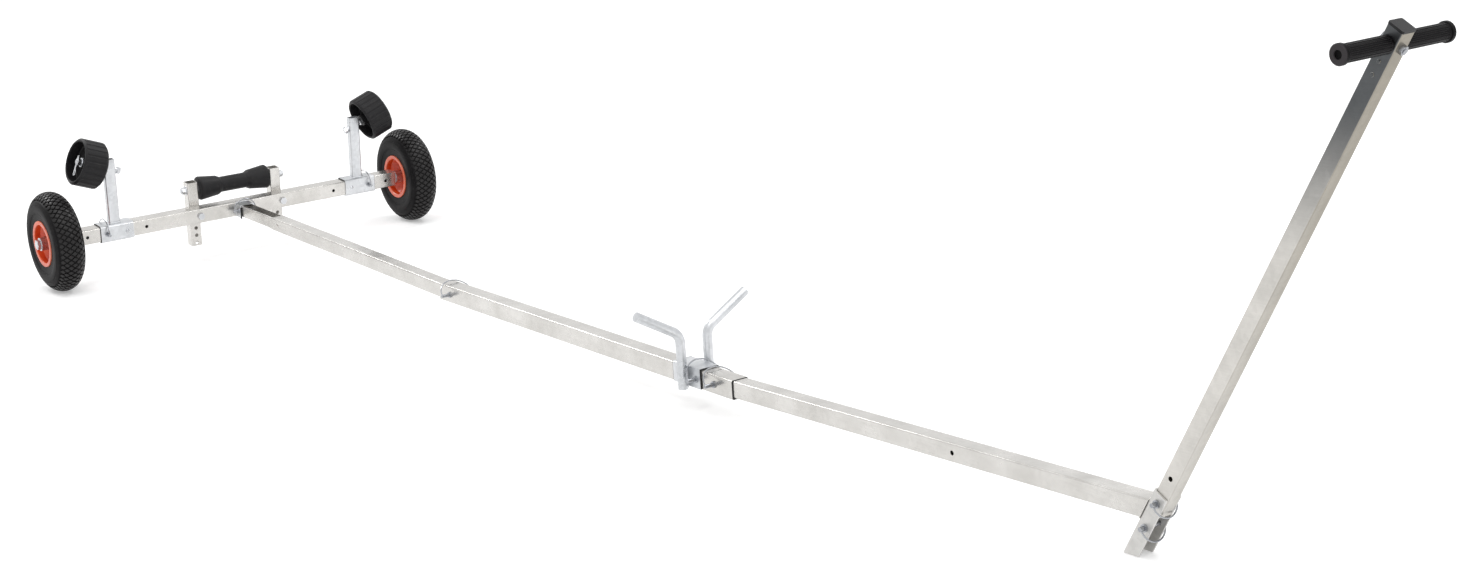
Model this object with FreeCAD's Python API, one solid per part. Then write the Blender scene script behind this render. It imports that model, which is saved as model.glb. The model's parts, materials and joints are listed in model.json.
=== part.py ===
# Hand launching trolley for a small boat: two pneumatic wheels on a square axle beam, a draw bar of
# three telescoping square tubes, a keel roller, two side rollers, a bow support and a raked T-handle.
# Millimetres. +X runs forward along the draw bar, +Y to port, +Z up. The floor is z = 0, where both
# tyres and the level foot of the handle socket stand. It is built with the axle above x = 0, and
# every piece is saved moved back, so that the origin lies midway along the whole trolley.
import FreeCAD, Part
import math
import os
from FreeCAD import Placement, Rotation, Vector

# Wheels
tyre_radius = 132.0
tyre_width = 80.0
tyre_section_height = 40.0
tyre_crown_flat = 13.0
tyre_bead_radius = 53.0
half_track = 518.0
rim_lip_radius = 61.0
rim_width = 76.0
rim_sheet = 2.5
rim_seat_width = 14.0
rim_dish_radius = 39.0
rim_disc_thickness = 6.0
rim_bolt_circle = 29.0
rim_bolt_count = 4
hub_radius = 17.0
hub_length = 80.0
shaft_clearance = 0.06

# Axle beam and the axle stubs welded into its ends
beam_size = 40.0
beam_wall = 2.0
beam_half_length = 471.0
beam_corner = 4.0
stub_radius = 10.0
stub_collar_radius = 14.0
stub_plug_length = 40.0
stub_thread_length = 12.0
axle_nut_across = 24.0
axle_nut_height = 9.0
hub_end_play = 0.4

# Row of lock pin holes along the beam, each side
hole_first = 276.0
hole_pitch = 54.6
hole_count = 4
pin_radius = 4.0
pin_hole_radius = 4.5

# Draw bar tubes, rear and front inside the middle one
slim_tube = 35.0
slim_wall = 1.5
middle_tube = 40.0
middle_wall = 1.25
tube_corner = 3.5
rear_tube_start = 243.0
rear_tube_length = 977.0
middle_tube_length = 1158.0
front_tube_length = 1168.0
rear_insert = 80.0
front_insert = 75.0
insert_clearance = 0.1
rear_pin_from_end = 51.0
front_pin_from_end = 60.0
front_spare_hole = 678.0
front_axis_height = 86.0

# Coupling of the draw bar to the beam
tongue_wall = 3.0
tongue_insert = 60.0
tongue_gap = 2.0
ear_plate = 3.0
ear_reach = 31.0
ear_side_gap = 1.0
coupling_pin_reach = 17.0
axle_pitch = -6.5

# Side brackets: sleeve on the beam with a post that carries a tilted roller
sleeve_clearance = 0.3
sleeve_plate = 3.0
sleeve_length = 90.0
sleeve_centre = 358.0
post_width = 30.0
post_depth = 20.0
post_wall = 2.0
post_corner = 4.0
post_top = 195.0
roller_tilt = 21.6
side_roller_radius = 62.0
side_roller_length = 66.0
side_roller_wall = 9.0
side_roller_web = 8.0
side_roller_hub_radius = 15.0
side_roller_hub_out = 15.0
side_roller_bevel = 5.0
flute_count = 24
flute_depth = 1.7
flute_cutter_radius = 4.0
side_roller_out = 56.4
side_roller_up = 193.0
side_roller_gap = 0.4
spindle_radius = 6.0
spindle_collar_radius = 10.0

# Keel roller and its uprights behind the beam
upright_size = 30.0
upright_wall = 2.0
upright_corner = 3.0
upright_spacing = 242.0
upright_above = 83.0
upright_below = 94.0
upright_hole_first = 44.0
upright_hole_pitch = 20.5
upright_hole_count = 3
keel_axis_above = 61.0
keel_roller_length = 202.0
keel_end_radius = 32.5
keel_shoulder_radius = 26.5
keel_waist_radius = 21.0
keel_cone_length = 54.0
keel_step_length = 11.0
keel_edge_round = 5.0
keel_shaft_radius = 6.0
bolt_radius = 5.0
bolt_head_across = 17.0
bolt_head_height = 6.4
nut_height = 10.0
washer_radius = 12.0
washer_thickness = 2.0

# Bow support on the middle tube, placed from the middle tube's front end
bow_from_end = 148.0
saddle_length = 92.0
saddle_plate = 3.0
saddle_clearance = 0.3
bow_pin_ahead = 32.0
arm_radius = 10.0
arm_wall = 2.0
arm_rise = 88.0
arm_drop = 24.0
arm_bend_radius = 30.0
arm_rake = 30.0
arm_reach = 116.0

# Handle socket and foot, an open-front channel welded to the front tube
mast_angle = 58.75
socket_wall = 3.0
socket_depth = 30.0
socket_length = 143.0
socket_corner = 4.0
socket_side_clearance = 0.5
foot_pin_height = 72.0
socket_pin_pitch = 53.5

# Handle
handle_size = 28.0
handle_wall = 1.5
handle_corner = 3.0
handle_below_pin = 20.0
handle_length = 915.0
cap_thickness = 4.0
cap_overhang = 0.4
cap_plug_length = 9.0
grip_bar_radius = 9.5
grip_bar_wall = 2.0
grip_bar_length = 206.0
grip_bar_below_top = 25.0
grip_radius = 13.4
grip_length = 101.0
grip_clearance = 0.1
grip_knob_radius = 15.4
grip_knob_length = 8.0
grip_recess_radius = 7.0
grip_recess_depth = 3.5
grip_groove_count = 16
grip_groove_depth = 0.8
grip_groove_radius = 1.6
handle_bolt_radius = 4.0

# Lock pins
bail_wire_radius = 1.5
bail_clearance = 1.2
tube_bail_lean = 49.0
bow_bail_lean = 40.0
socket_bail_lean = 38.0
pin_collar_radius = 7.0
pin_collar_thickness = 3.0

BEAM_HALF = beam_size/2
MIDDLE_INNER = middle_tube - 2*middle_wall
tongue_size = slim_tube - 2*slim_wall
coupling_x = BEAM_HALF + coupling_pin_reach
X_AXIS = Vector(1, 0, 0)
Y_AXIS = Vector(0, 1, 0)
Z_AXIS = Vector(0, 0, 1)


def play_angle(inside, outside, overlap):
    """Angle in degrees at which a tube of height inside, overlap deep in a slot, bears on both walls."""
    reach = math.hypot(inside, overlap)
    lean = math.atan2(overlap, inside)
    return math.degrees(lean - math.acos((outside - insert_clearance)/reach))


# The draw bar sags until each joint has used up its play, and its front stands on the foot
rear_kink = play_angle(slim_tube, MIDDLE_INNER, rear_insert)
front_kink = play_angle(slim_tube, MIDDLE_INNER, front_insert)
rear_pivot = rear_tube_start + rear_tube_length - rear_insert/2
middle_span = middle_tube_length - rear_insert/2 - front_insert/2
front_span = front_tube_length - front_insert/2


def chain_end(pitch):
    """End of the draw bar's centre line from the coupling pin, when the rear tube has this pitch."""
    end = Vector(0, 0, 0)
    spans = ((rear_pivot - coupling_x, 0.0), (middle_span, rear_kink), (front_span, rear_kink + front_kink))
    for length, turn in spans:
        angle = math.radians(pitch + turn)
        end += Vector(length*math.cos(angle), 0, length*math.sin(angle))
    return end


def frame_at(point, pitch):
    """Frame at a point with its X axis raised by pitch degrees."""
    return Placement(point, Rotation(Y_AXIS, -pitch))


# The beam leans further forward than the draw bar, by the play of the tongue in its coupling
AXLE = frame_at(Vector(0, 0, tyre_radius), axle_pitch)
pin_point = AXLE.multVec(Vector(coupling_x, 0, 0))
level_end = chain_end(0.0)
end_rise = math.asin((front_axis_height - pin_point.z)/level_end.Length)
rear_pitch = math.degrees(end_rise - math.atan2(level_end.z, level_end.x))
middle_pitch = rear_pitch + rear_kink
front_pitch = middle_pitch + front_kink
handle_lean = 90.0 - mast_angle - front_pitch

REAR = frame_at(pin_point, rear_pitch).multiply(Placement(Vector(-coupling_x, 0, 0), Rotation()))
MIDDLE = frame_at(REAR.multVec(Vector(rear_pivot, 0, 0)), middle_pitch)
FRONT = frame_at(MIDDLE.multVec(Vector(middle_span, 0, 0)), front_pitch)
tube_end = FRONT.multVec(Vector(front_span, 0, 0))
foot_run = tube_end.z*math.tan(math.radians(handle_lean))
MAST = frame_at(Vector(tube_end.x - foot_run, 0, 0), -handle_lean)

rear_joint_x = -rear_insert/2 + rear_pin_from_end
front_joint_x = front_insert/2 - front_pin_from_end
bow_x = middle_span + front_insert/2 - bow_from_end
socket_inner = handle_size + 2*socket_side_clearance
socket_outer = socket_inner + 2*socket_wall
handle_centre = socket_wall + handle_size/2
upper_pin_height = foot_pin_height + socket_pin_pitch
handle_bottom = upper_pin_height - handle_below_pin
handle_top = handle_bottom + handle_length
grip_bar_height = handle_top - grip_bar_below_top
sleeve_outer = beam_size + 2*(sleeve_clearance + sleeve_plate)
side_pin_y = hole_first + 2*hole_pitch
upright_x = -BEAM_HALF - upright_size/2
cap_front = socket_wall + handle_size + cap_overhang
cap_corner_point = MAST.multVec(Vector(cap_front, 0, handle_top + cap_thickness))
length_centre = Vector((cap_corner_point.x - tyre_radius)/2, 0, 0)


def rounded_face(width, height, radius):
    """Rounded rectangle in the YZ plane, centred on the X axis."""
    y, z, r = width/2, height/2, radius
    k = r*(1 - math.sqrt(0.5))
    corners = [(1, 1), (-1, 1), (-1, -1), (1, -1)]
    edges = []
    for i, (sy, sz) in enumerate(corners):
        first, second = Vector(0, sy*y, sz*(z - r)), Vector(0, sy*(y - r), sz*z)
        if i % 2:
            first, second = second, first
        edges.append(Part.Arc(first, Vector(0, sy*(y - k), sz*(z - k)), second).toShape())
    for i in range(4):
        edges.append(Part.makeLine(edges[i].Vertexes[1].Point, edges[(i + 1) % 4].Vertexes[0].Point))
    return Part.Face(Part.Wire(Part.__sortEdges__(edges)))


def bar(width, height, radius, length):
    """Solid bar of rounded rectangular section along +X from the origin."""
    return rounded_face(width, height, radius).extrude(Vector(length, 0, 0))


def square_tube(width, height, wall, radius, length):
    """Open tube of rounded rectangular section along +X from the origin."""
    inner = bar(width - 2*wall, height - 2*wall, max(radius - wall, 0.5), length)
    return bar(width, height, radius, length).cut(inner)


def rod(radius, start, end, axis=Y_AXIS):
    """Cylinder about an axis through the origin, between two distances along it."""
    return Part.makeCylinder(radius, end - start, axis*start, axis)


def hexagon(across, start, end, axis=Y_AXIS):
    """Hexagonal prism about an axis through the origin."""
    turn = Rotation(X_AXIS, axis)
    corner = across/math.sqrt(3)
    points = [Vector(0, corner*math.cos(math.radians(60*i)), corner*math.sin(math.radians(60*i)))
              for i in range(7)]
    prism = Part.Face(Part.makePolygon(points)).extrude(Vector(end - start, 0, 0))
    prism.Placement = Placement(axis*start, turn)
    return prism


def moved(shape, offset):
    """Copy of a shape moved by an offset."""
    copy = shape.copy()
    copy.translate(offset)
    return copy


def placed(shape, frame):
    """Copy of a shape carried from a local frame to the trolley's."""
    copy = shape.copy()
    copy.Placement = frame.multiply(copy.Placement)
    return copy


def mirrored(shape, side):
    """The shape as made for port, or its mirror image for starboard."""
    return shape if side > 0 else shape.mirror(Vector(0, 0, 0), Y_AXIS)


def revolved(points, axis=Y_AXIS):
    """Solid of revolution about the Y axis from (radius, y) points of a closed outline."""
    outline = [Vector(r, y, 0) for r, y in points]
    return Part.Face(Part.makePolygon(outline + outline[:1])).revolve(Vector(0, 0, 0), axis, 360)


def save(name, shape):
    """Writes one node; several solids in it stay separate."""
    shape = moved(shape.removeSplitter() if len(shape.Solids) == 1 else shape, length_centre*-1)
    if not shape.isValid():
        print("not valid:", name)
    shape.exportStep("parts/" + name + ".step")
    print(f"{name:28s} solids {len(shape.Solids)} volume {shape.Volume/1000:9.2f} cm3")


def lock_pin(half_width, half_height, lean=0.0):
    """Lock pin along Y through a tube; its wire bail passes over the top, leaning back by an angle."""
    slant_height = half_height/math.cos(math.radians(lean))
    bail_radius = math.hypot(half_width, slant_height) + bail_clearance + bail_wire_radius
    pin = rod(pin_radius, -bail_radius - 2*bail_wire_radius, bail_radius + 2*bail_wire_radius)
    for side in (-1, 1):
        near, far = side*half_width, side*(half_width + pin_collar_thickness)
        pin = pin.fuse(rod(pin_collar_radius, min(near, far), max(near, far)))
    angles = [math.radians(22.5 + 45.0*i) for i in range(9)]
    section = [Vector(bail_wire_radius*math.cos(a), bail_radius + bail_wire_radius*math.sin(a), 0)
               for a in angles]
    bail = Part.Face(Part.makePolygon(section)).revolve(Vector(0, 0, 0), X_AXIS, 180)
    bail.rotate(Vector(0, 0, 0), Y_AXIS, -lean)
    return pin.fuse(bail)


def tyre_profile():
    """Tyre section as (radius, y) points: flat beads inside the rim's lips, then a round casing."""
    centre = tyre_radius - tyre_section_height
    bead_y = rim_width/2 - rim_sheet
    points = [(tyre_bead_radius, bead_y), (rim_lip_radius + 3.0, bead_y)]
    for degrees in (-22.0, 2.0, 24.0, 43.5, 64.0):
        angle = math.radians(degrees)
        points.append((centre + tyre_section_height*math.sin(angle), tyre_width/2*math.cos(angle)))
    points.append((tyre_radius, tyre_crown_flat/2))
    return points + [(r, -y) for r, y in reversed(points)]


def tyre():
    """Pneumatic tyre as one solid ring seated on the rim."""
    return revolved(tyre_profile())


def rim():
    """Rim of two pressed steel dishes bolted back to back: turned-out lip, bead seat, cone and disc."""
    half, sheet, seat = rim_width/2, rim_sheet, tyre_bead_radius
    disc = rim_disc_thickness/2
    seat_y = half - sheet - rim_seat_width
    lip = [(rim_lip_radius, half - sheet), (rim_lip_radius - 0.8, half), (seat - 1.0, half)]
    inside = [(seat - sheet, half - 2.0), (seat - sheet, seat_y), (rim_dish_radius - sheet, disc),
              (hub_radius, disc)]
    outside = [(rim_dish_radius, 0.01), (seat, seat_y), (seat, half - sheet)]
    section = outside + lip + inside
    shell = revolved(section + [(r, -y) for r, y in reversed(section)])
    bolts = []
    for i in range(rim_bolt_count):
        angle = 2*math.pi*(i + 0.5)/rim_bolt_count
        head = hexagon(10.0, -disc - 4.0, disc + 4.0)
        bolts.append(moved(head, Vector(rim_bolt_circle*math.cos(angle), 0, rim_bolt_circle*math.sin(angle))))
    return shell.fuse(bolts)


def hub():
    """Bearing hub through the rim's disc, bored for the axle stub."""
    body = rod(hub_radius, -hub_length/2, hub_length/2)
    return body.cut(rod(stub_radius + shaft_clearance, -hub_length, hub_length))


def axle_stub():
    """Port axle stub: square plug welded in the beam's end, shaft for the hub, and its nut."""
    inner = beam_size - 2*beam_wall
    hub_in = half_track - hub_length/2 - hub_end_play
    hub_out = half_track + hub_length/2 + hub_end_play
    plug = bar(inner, inner, beam_corner - beam_wall, stub_plug_length)
    plug.rotate(Vector(0, 0, 0), Z_AXIS, 90)
    plug = moved(plug, Vector(0, beam_half_length - stub_plug_length, 0))
    shaft = rod(stub_radius, beam_half_length - stub_plug_length/2, hub_out + stub_thread_length)
    collar = rod(stub_collar_radius, beam_half_length, hub_in)
    washer = rod(hub_radius, hub_out, hub_out + washer_thickness)
    nut = hexagon(axle_nut_across, hub_out + washer_thickness, hub_out + washer_thickness + axle_nut_height)
    return plug.fuse([shaft, collar, washer, nut])


def axle_beam():
    """Square beam along Y, bored fore and aft for the lock pins and the upright bolts."""
    tube = square_tube(beam_size, beam_size, beam_wall, beam_corner, 2*beam_half_length)
    tube.rotate(Vector(0, 0, 0), Z_AXIS, 90)
    tube = moved(tube, Vector(0, -beam_half_length, 0))
    bores = []
    for side in (-1, 1):
        for i in range(hole_count):
            bore = rod(pin_hole_radius, -beam_size, beam_size, X_AXIS)
            bores.append(moved(bore, Vector(0, side*(hole_first + i*hole_pitch), 0)))
        bore = rod(bolt_radius + 0.25, -beam_size, beam_size, X_AXIS)
        bores.append(moved(bore, Vector(0, side*upright_spacing/2, 0)))
    return tube.cut(bores)


def roller_frame():
    """Frame of the port side roller: origin at its centre, Y along its axis, outboard and up."""
    centre = Vector(0, sleeve_centre + side_roller_out, side_roller_up)
    return Placement(centre, Rotation(X_AXIS, roller_tilt))


def side_bracket():
    """Port sleeve around the beam with the roller post standing on it."""
    sleeve = square_tube(sleeve_outer, sleeve_outer, sleeve_plate, beam_corner + sleeve_plate, sleeve_length)
    sleeve.rotate(Vector(0, 0, 0), Z_AXIS, 90)
    sleeve = moved(sleeve, Vector(0, sleeve_centre - sleeve_length/2, 0))
    base = sleeve_outer/2
    post = square_tube(post_width, post_depth, post_wall, post_corner, post_top - base)
    post.rotate(Vector(0, 0, 0), Y_AXIS, -90)
    post = moved(post, Vector(0, sleeve_centre, base))
    bores = [moved(rod(pin_hole_radius, -sleeve_outer, sleeve_outer, X_AXIS), Vector(0, side_pin_y, 0)),
             placed(rod(spindle_radius + 0.1, -2*side_roller_length, 0), roller_frame())]
    return sleeve.fuse(post).cut(bores)


def side_roller():
    """Fluted rubber roller, hollow on both sides of a web, its hub long inboard; axis along Y."""
    half, outer, bevel = side_roller_length/2, side_roller_radius, side_roller_bevel
    inner, web, core = outer - side_roller_wall, side_roller_web/2, side_roller_hub_radius
    bore = spindle_radius + shaft_clearance
    profile = [(bore, -half), (core, -half), (core + 2.0, -web), (inner - 2.0, -web), (inner, -web - 2.0),
               (inner, -half + 2.0), (inner + 2.0, -half), (outer - bevel, -half), (outer, -half + bevel),
               (outer, half - bevel), (outer - bevel, half), (inner + 2.0, half), (inner, half - 2.0),
               (inner, web + 2.0), (inner - 2.0, web), (core + 2.0, web), (core, side_roller_hub_out),
               (bore, side_roller_hub_out)]
    body = revolved(profile)
    cutter_at = outer - flute_depth + flute_cutter_radius
    flutes = []
    for i in range(flute_count):
        angle = 2*math.pi*i/flute_count
        flute = rod(flute_cutter_radius, -2*half, 2*half)
        flutes.append(moved(flute, Vector(cutter_at*math.cos(angle), 0, cutter_at*math.sin(angle))))
    return body.cut(flutes)


def spindle():
    """Bolt of a side roller in the roller's frame: head inboard of the post, collar, nut outboard."""
    half = side_roller_length/2
    post_in = -(side_roller_out + post_width/2)/math.cos(math.radians(roller_tilt))
    post_out = -(side_roller_out - post_width/2)/math.cos(math.radians(roller_tilt))
    out_end = side_roller_hub_out + side_roller_gap
    bolt = rod(spindle_radius, post_in - 8.0, out_end + nut_height + washer_thickness + 3.0)
    head = hexagon(bolt_head_across, post_in - 8.0 - bolt_head_height, post_in - 6.0)
    collar = rod(spindle_collar_radius, post_out + 4.5, -half - side_roller_gap)
    washer = rod(washer_radius, out_end, out_end + washer_thickness)
    nut = hexagon(bolt_head_across, out_end + washer_thickness, out_end + washer_thickness + nut_height)
    return bolt.fuse([head, collar, washer, nut])


def upright():
    """Square tube standing against the beam's rear face, with spare height holes below."""
    tube = square_tube(upright_size, upright_size, upright_wall, upright_corner, upright_above + upright_below)
    tube.rotate(Vector(0, 0, 0), Y_AXIS, -90)
    tube = moved(tube, Vector(upright_x, 0, -upright_below))
    bores = [rod(bolt_radius + 0.25, -2*beam_size, 0, X_AXIS)]
    for i in range(upright_hole_count):
        height = -upright_hole_first - i*upright_hole_pitch
        bores.append(moved(rod(bolt_radius, -2*beam_size, 0, X_AXIS), Vector(0, 0, height)))
    bores.append(moved(rod(keel_shaft_radius + 0.1, -upright_size, upright_size),
                       Vector(upright_x, 0, keel_axis_above)))
    return tube.cut(bores)


def upright_bolt():
    """Bolt fore and aft through the beam and an upright."""
    back = -BEAM_HALF - upright_size
    bolt = rod(bolt_radius, back - nut_height - 3.0, BEAM_HALF + 1.0, X_AXIS)
    head = hexagon(bolt_head_across, BEAM_HALF, BEAM_HALF + bolt_head_height, X_AXIS)
    nut = hexagon(bolt_head_across, back - nut_height, back, X_AXIS)
    return bolt.fuse([head, nut])


def keel_roller():
    """Dumbbell rubber roller: long cones to both ends, a short step down to the waist, axis along Y."""
    half = keel_roller_length/2
    shoulder_y = half - keel_cone_length
    waist_y = shoulder_y - keel_step_length
    bore = keel_shaft_radius + shaft_clearance
    round_side = keel_edge_round*0.3
    side = [(bore, half), (keel_end_radius - keel_edge_round, half), (keel_end_radius - round_side, half - round_side),
            (keel_end_radius, half - keel_edge_round), (keel_shoulder_radius, shoulder_y),
            (keel_waist_radius, waist_y)]
    return revolved(side + [(r, -y) for r, y in reversed(side)])


def keel_shaft():
    """Threaded shaft of the keel roller with washers and nuts against the uprights."""
    outer = upright_spacing/2 + upright_size/2
    inner = upright_spacing/2 - upright_size/2
    shaft = rod(keel_shaft_radius, -outer - nut_height - 5.0, outer + nut_height + 5.0)
    pieces = []
    for side in (-1, 1):
        near, far = side*outer, side*(outer + washer_thickness)
        pieces.append(rod(washer_radius, min(near, far), max(near, far)))
        near, far = far, side*(outer + washer_thickness + nut_height)
        pieces.append(hexagon(bolt_head_across, min(near, far), max(near, far)))
        near, far = side*inner, side*(keel_roller_length/2 + side_roller_gap)
        pieces.append(rod(washer_radius, min(near, far), max(near, far)))
    return shaft.fuse(pieces)


def coupling_bracket():
    """Folded saddle on the beam's front face: top plate and two ears beside the tongue."""
    inside = tongue_size + 2*ear_side_gap
    outside = inside + 2*ear_plate
    block = bar(outside, beam_size, beam_corner, ear_reach)
    slot = Part.makeBox(ear_reach, inside, beam_size, Vector(0, -inside/2, -BEAM_HALF - ear_plate))
    block = moved(block.cut(slot), Vector(BEAM_HALF, 0, 0))
    bore = moved(rod(pin_hole_radius, -outside, outside), Vector(coupling_x, 0, 0))
    return block.cut(bore)


def tongue():
    """Open-top channel that is pinned in the coupling and slides into the rear tube."""
    start = BEAM_HALF + tongue_gap
    length = rear_tube_start + tongue_insert - start
    channel = bar(tongue_size, tongue_size, tongue_wall, length)
    inner = tongue_size - 2*tongue_wall
    slot = Part.makeBox(length, inner, tongue_size, Vector(0, -inner/2, tongue_wall - tongue_size/2))
    channel = moved(channel.cut(slot), Vector(start, 0, 0))
    bores = [moved(rod(pin_hole_radius, -tongue_size, tongue_size), Vector(x, 0, 0))
             for x in (coupling_x, rear_tube_start + tongue_insert/2)]
    return channel.cut(bores)


def drilled_at(frame, x):
    """Place, in a slim tube's own frame, of a hole drilled through it and the middle tube at x."""
    point = frame.inverse().multVec(MIDDLE.multVec(Vector(x, 0, 0)))
    return point.x, point.z


def draw_tube(size, wall, start, length, hole_places):
    """Draw bar tube along X with lock pin holes through its sides at (x, z) places."""
    tube = moved(square_tube(size, size, wall, tube_corner, length), Vector(start, 0, 0))
    bores = [moved(rod(pin_hole_radius, -size, size), Vector(x, 0, z)) for x, z in hole_places]
    return tube.cut(bores)


def front_tube():
    """Front tube, mitred where it meets the socket's web."""
    joint_hole = drilled_at(FRONT, middle_span + front_joint_x)
    long_tube = draw_tube(slim_tube, slim_wall, -front_insert/2, front_span + slim_tube + front_insert/2,
                          (joint_hole, (front_spare_hole, 0.0)))
    cutter = Part.makeBox(200.0, 100.0, 400.0, Vector(0, -50.0, -100.0))
    return placed(long_tube, FRONT).cut(placed(cutter, MAST))


def bow_saddle():
    """Inverted U plate over the middle tube, drilled for its lock pin."""
    inside = middle_tube + 2*saddle_clearance
    outside = inside + 2*saddle_plate
    height = inside + saddle_plate
    block = moved(bar(outside, height, tube_corner, saddle_length), Vector(0, 0, saddle_plate/2))
    slot = Part.makeBox(saddle_length, inside, height, Vector(0, -inside/2, inside/2 - height))
    saddle = moved(block.cut(slot), Vector(-saddle_length/2, 0, 0))
    return saddle.cut(moved(rod(pin_hole_radius, -outside, outside), Vector(bow_pin_ahead, 0, 0)))


def bow_arm():
    """Port arm of the bow support: a tube up the saddle's side, bent outwards, with a closed tip."""
    side = middle_tube/2 + saddle_clearance + saddle_plate + arm_radius
    turn = math.radians(90.0 - arm_rake)
    tangent = arm_bend_radius*math.tan(turn/2)
    foot = Vector(0, side, -arm_drop)
    knee = Vector(0, side, arm_rise)
    out = Vector(0, math.cos(math.radians(arm_rake)), math.sin(math.radians(arm_rake)))
    first = knee - Z_AXIS*tangent
    last = knee + out*tangent
    centre = first + Y_AXIS*arm_bend_radius
    middle = centre + Vector(0, -math.cos(turn/2), math.sin(turn/2))*arm_bend_radius
    tip = knee + out*arm_reach
    start = [Part.makeLine(foot, first), Part.Arc(first, middle, last).toShape()]
    path = Part.Wire(start + [Part.makeLine(last, tip)])
    bore_path = Part.Wire(start + [Part.makeLine(last, tip - out*arm_wall)])
    ring = Part.Face(Part.Wire(Part.makeCircle(arm_radius, foot, Z_AXIS)))
    core = Part.Face(Part.Wire(Part.makeCircle(arm_radius - arm_wall, foot, Z_AXIS)))
    outer = path.makePipeShell([ring.OuterWire], True, False)
    inner = bore_path.makePipeShell([core.OuterWire], True, False)
    return outer.cut(inner)


def socket():
    """Open-front channel for the handle; its lower end is cut level and is the parking foot."""
    length = socket_length + 60.0
    channel = bar(socket_outer, socket_depth*2, socket_corner, length)
    slot = Part.makeBox(length, socket_inner, socket_depth*2,
                        Vector(0, -socket_inner/2, socket_wall - socket_depth))
    half = Part.makeBox(length, socket_outer, socket_depth, Vector(0, -socket_outer/2, 0))
    channel = channel.cut([slot, half])
    channel = moved(channel, Vector(0, 0, socket_depth))
    channel.rotate(Vector(0, 0, 0), Y_AXIS, -90)
    channel = channel.mirror(Vector(0, 0, 0), X_AXIS)
    channel = moved(channel, Vector(0, 0, socket_length - length))
    bores = [moved(rod(pin_hole_radius, -socket_outer, socket_outer), Vector(handle_centre, 0, height))
             for height in (foot_pin_height, upper_pin_height)]
    below = Part.makeBox(400.0, 200.0, 200.0, Vector(MAST.Base.x - 200.0, -100.0, -200.0))
    return placed(channel.cut(bores), MAST).cut(below)


def handle_tube():
    """Handle tube in the mast frame, with pin holes, a spare hole and bores for the grip bar."""
    tube = square_tube(handle_size, handle_size, handle_wall, handle_corner, handle_length)
    tube.rotate(Vector(0, 0, 0), Y_AXIS, -90)
    tube = moved(tube, Vector(handle_centre, 0, handle_bottom))
    bores = [moved(rod(pin_hole_radius, -handle_size, handle_size), Vector(handle_centre, 0, height))
             for height in (upper_pin_height, upper_pin_height + socket_pin_pitch)]
    bores.append(moved(rod(grip_bar_radius + 0.1, -handle_size, handle_size),
                       Vector(handle_centre, 0, grip_bar_height)))
    bores.append(moved(rod(handle_bolt_radius + 0.2, -handle_size, 2*handle_size, X_AXIS),
                       Vector(0, 0, grip_bar_height)))
    return tube.cut(bores)


def handle_cap():
    """Plastic cap: a flat head on the handle's top with a plug inside the tube."""
    outside = handle_size + 2*cap_overhang
    inside = handle_size - 2*handle_wall - 2*insert_clearance
    head = moved(bar(outside, outside, handle_corner, cap_thickness), Vector(cap_plug_length, 0, 0))
    cap = head.fuse(bar(inside, inside, handle_corner - handle_wall, cap_plug_length))
    cap.rotate(Vector(0, 0, 0), Y_AXIS, -90)
    return moved(cap, Vector(handle_centre, 0, handle_top - cap_plug_length))


def grip_bar():
    """Cross tube through the handle for both grips."""
    half = grip_bar_length/2
    tube = rod(grip_bar_radius, -half, half).cut(rod(grip_bar_radius - grip_bar_wall, -half, half))
    bore = rod(handle_bolt_radius + 0.2, -handle_size, handle_size, X_AXIS)
    return moved(tube.cut(bore), Vector(handle_centre, 0, grip_bar_height))


def grip():
    """Port grip: closed rubber sleeve grooved along its length, with a wider knob and a dished end."""
    start = handle_size/2 + 0.3
    end = start + grip_length
    neck = end - grip_knob_length
    inside = grip_bar_radius + grip_clearance
    blind = min(grip_bar_length/2 + 0.3, end - grip_recess_depth - 1.0)
    profile = [(inside, start), (grip_radius - 1.2, start), (grip_radius, start + 1.2), (grip_radius, neck - 1.5),
               (grip_knob_radius, neck + 1.0), (grip_knob_radius, end - 1.8), (grip_knob_radius - 1.8, end),
               (grip_recess_radius, end), (grip_recess_radius - 1.5, end - grip_recess_depth),
               (0, end - grip_recess_depth), (0, blind), (inside, blind)]
    cutter_at = grip_radius - grip_groove_depth + grip_groove_radius
    grooves = []
    for i in range(grip_groove_count):
        angle = 2*math.pi*i/grip_groove_count
        groove = rod(grip_groove_radius, start + 5.0, neck - 4.0)
        grooves.append(moved(groove, Vector(cutter_at*math.cos(angle), 0, cutter_at*math.sin(angle))))
    return moved(revolved(profile).cut(grooves), Vector(handle_centre, 0, grip_bar_height))


def handle_bolt():
    """Bolt through the handle and the grip bar, its nut in front."""
    back, front = socket_wall, socket_wall + handle_size
    bolt = rod(handle_bolt_radius, back - 1.0, front + 8.0, X_AXIS)
    head = hexagon(13.0, back - 5.5, back, X_AXIS)
    nut = hexagon(13.0, front, front + 6.5, X_AXIS)
    return moved(bolt.fuse([head, nut]), Vector(0, 0, grip_bar_height))


def save_wheels():
    """Tyre, rim, hub and axle stub on each side."""
    for side, name in ((1, "port"), (-1, "starboard")):
        centre = Vector(0, side*half_track, 0)
        for node, shape in (("tyre_", tyre()), ("rim_", rim()), ("hub_", hub())):
            save(node + name, placed(moved(mirrored(shape, side), centre), AXLE))
        save("axle_stub_" + name, placed(mirrored(axle_stub(), side), AXLE))


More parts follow.
